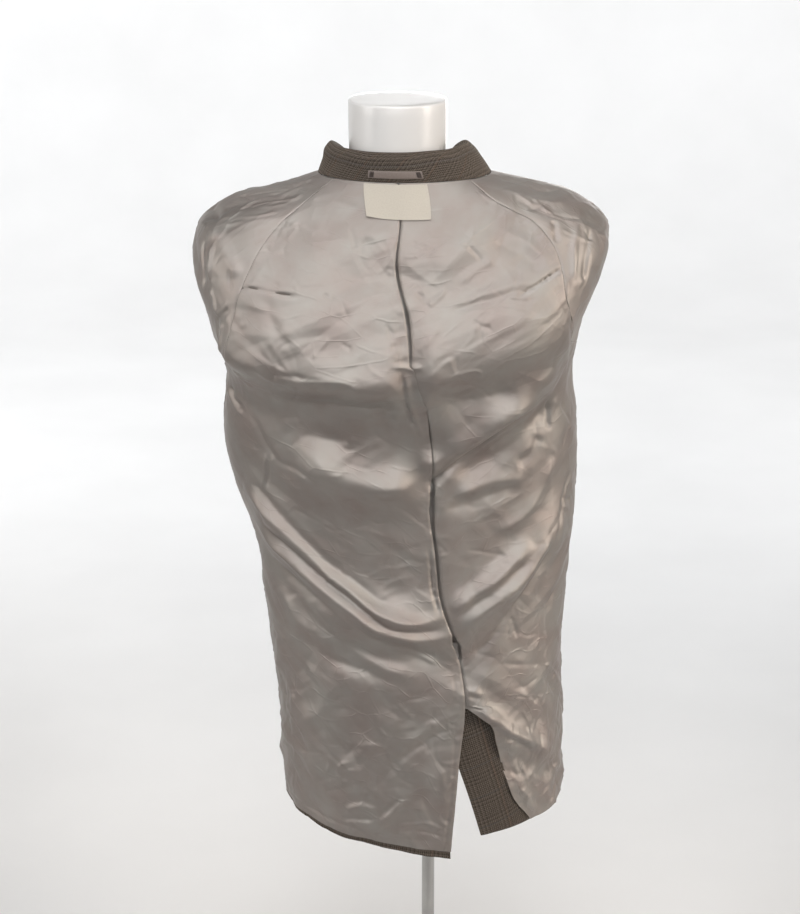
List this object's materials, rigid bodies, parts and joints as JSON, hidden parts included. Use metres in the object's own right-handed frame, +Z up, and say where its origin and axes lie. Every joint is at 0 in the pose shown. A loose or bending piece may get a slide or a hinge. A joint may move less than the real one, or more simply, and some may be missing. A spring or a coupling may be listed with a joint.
{
  "type": "overcoat on dress form",
  "caption": "Raglan overcoat turned inside out on a limbless dress form and stand: satin lining outward, sleeves pushed inside, checked tweed at the collar, back vent and hem.",
  "frame": {"origin": "centre of the base plate's underside, on the pole's axis, at floor level", "axes": "+Z up along the pole; the coat's back faces -Y, the side pictured; +X to the right as seen from behind"},
  "size_m": [0.5378, 0.3063, 1.36],
  "materials": {
    "lining_satin": "satin",
    "checked_tweed": "woolly check",
    "loop_tape": "woven tape",
    "label_cloth": "plain woven",
    "white_shell": "white gloss",
    "chrome_steel": "polished"
  },
  "bodies": {
    "root": {"back_hem_left": "checked_tweed", "back_left": "lining_satin", "back_right": "lining_satin", "base_plate": "chrome_steel", "collar": "checked_tweed", "dress_form": "white_shell", "facing_left": "checked_tweed", "facing_right": "checked_tweed", "front_left": "lining_satin", "front_right": "lining_satin", "hanging_loop": "loop_tape", "neck_label": "label_cloth", "pole": "chrome_steel", "sleeve_left_back": "lining_satin", "sleeve_left_front": "lining_satin", "sleeve_right_back": "lining_satin", "sleeve_right_front": "lining_satin", "vent_facing": "checked_tweed"}
  },
  "joints": []
}
